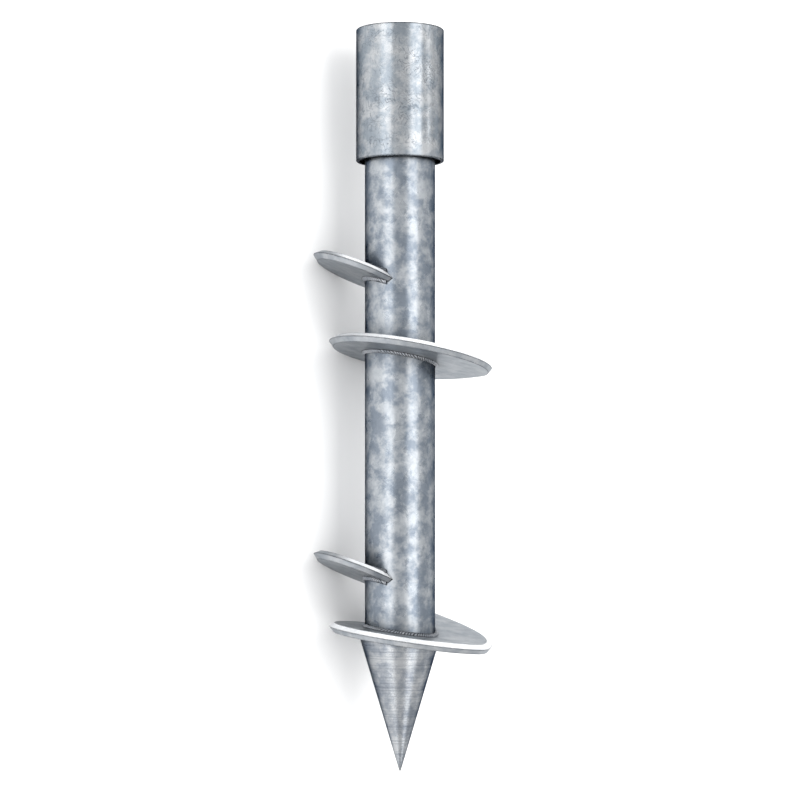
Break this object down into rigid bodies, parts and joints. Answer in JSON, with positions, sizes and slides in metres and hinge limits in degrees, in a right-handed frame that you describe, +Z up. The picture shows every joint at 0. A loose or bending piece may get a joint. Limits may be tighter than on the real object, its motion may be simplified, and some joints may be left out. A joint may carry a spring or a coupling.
{
  "type": "ground screw foundation",
  "caption": "Galvanised steel ground screw: a tube with a turned drive point, welded disc blades with bevelled rims and a wider socket sleeve at its head.",
  "frame": {"origin": "on the floor under the middle of the bounding box, with the screw lying on its blades as it comes to rest", "axes": "+Z up, +Y along the screw's axis towards its open head, +X to the side that the full blades are set off towards"},
  "size_m": [0.1782, 0.8, 0.176],
  "materials": {
    "tube_steel": "hot-dip galvanised, mottled and fairly glossy",
    "sleeve_steel": "hot-dip galvanised, mottled and fairly glossy",
    "point_steel": "turned, then galvanised, with fine turning lines",
    "blade_plate": "galvanised plate with faint streaks",
    "ring_steel": "galvanised, plain",
    "weld_metal": "rippled weld under zinc"
  },
  "bodies": {
    "root": {"drive_point": "point_steel", "head_sleeve": "sleeve_steel", "lower_full_blade": "blade_plate", "lower_full_blade_bottom_weld": "weld_metal", "lower_full_blade_top_weld": "weld_metal", "lower_half_blade": "blade_plate", "lower_half_blade_bottom_weld": "weld_metal", "lower_half_blade_top_weld": "weld_metal", "lower_ring_weld": "weld_metal", "lower_spacer_ring": "ring_steel", "shaft_tube": "tube_steel", "upper_full_blade": "blade_plate", "upper_full_blade_bottom_weld": "weld_metal", "upper_full_blade_top_weld": "weld_metal", "upper_half_blade": "blade_plate", "upper_half_blade_bottom_weld": "weld_metal", "upper_half_blade_top_weld": "weld_metal", "upper_ring_weld": "weld_metal", "upper_spacer_ring": "ring_steel"}
  },
  "joints": []
}
